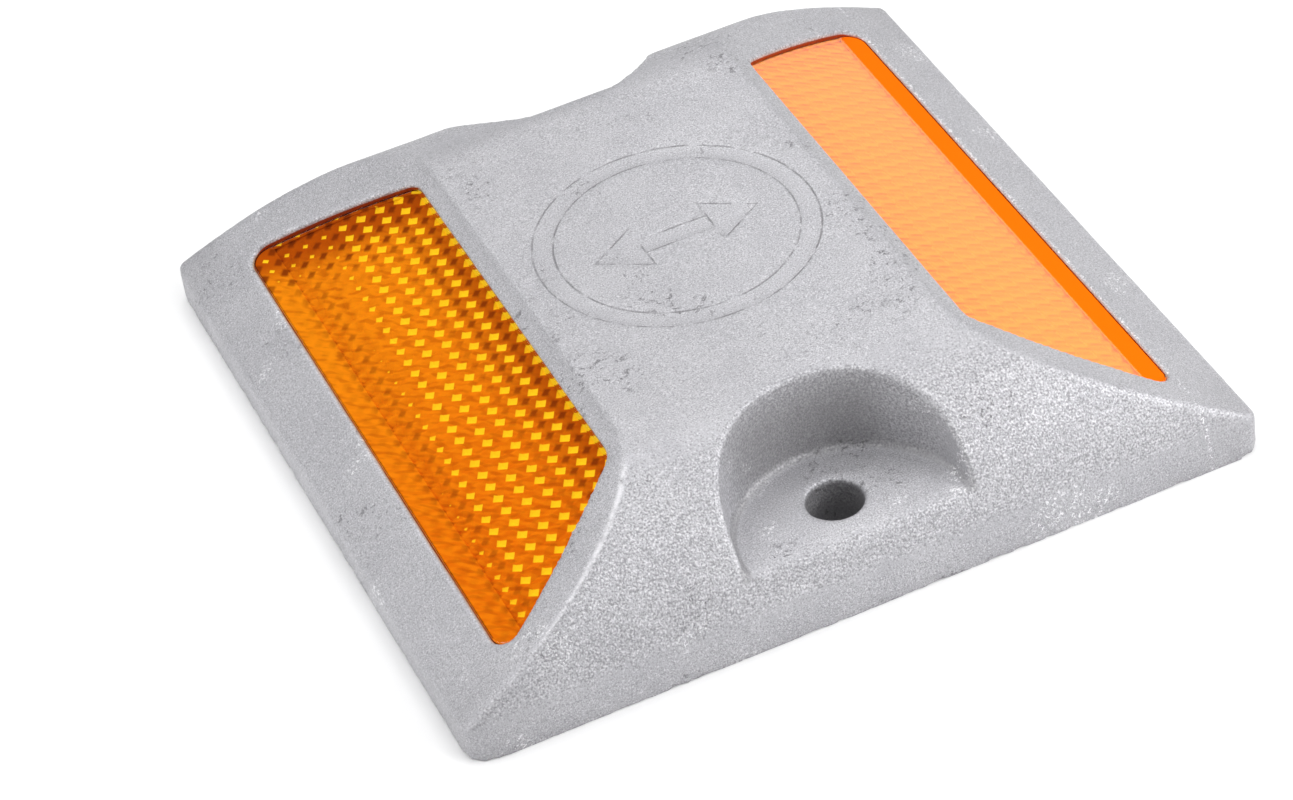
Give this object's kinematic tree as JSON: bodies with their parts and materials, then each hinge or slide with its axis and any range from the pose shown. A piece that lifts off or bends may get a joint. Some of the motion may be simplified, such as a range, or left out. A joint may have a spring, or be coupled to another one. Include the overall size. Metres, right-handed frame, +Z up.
{
  "type": "raised pavement marker",
  "caption": "Low square cast-aluminium road stud with amber prismatic reflectors on its two sloping faces and a fixing hole in a half-moon pocket at its front and back.",
  "frame": {"origin": "centre of the base, on the road surface", "axes": "+Z up from the road; +X and -X are the ways the two reflectors face, along the traffic; the two fixing holes lie on the Y axis"},
  "size_m": [0.1, 0.1, 0.0205],
  "materials": {
    "cast_aluminium": "shot-blasted casting, fine sparkling grain",
    "amber_acrylic": "clear amber, polished face over prisms",
    "backing_plastic": "moulded",
    "cured_adhesive": "cured epoxy"
  },
  "bodies": {
    "root": {"housing": "cast_aluminium", "left_lens": "amber_acrylic", "left_backing": "backing_plastic", "left_bond": "cured_adhesive", "right_lens": "amber_acrylic", "right_backing": "backing_plastic", "right_bond": "cured_adhesive"}
  },
  "joints": []
}
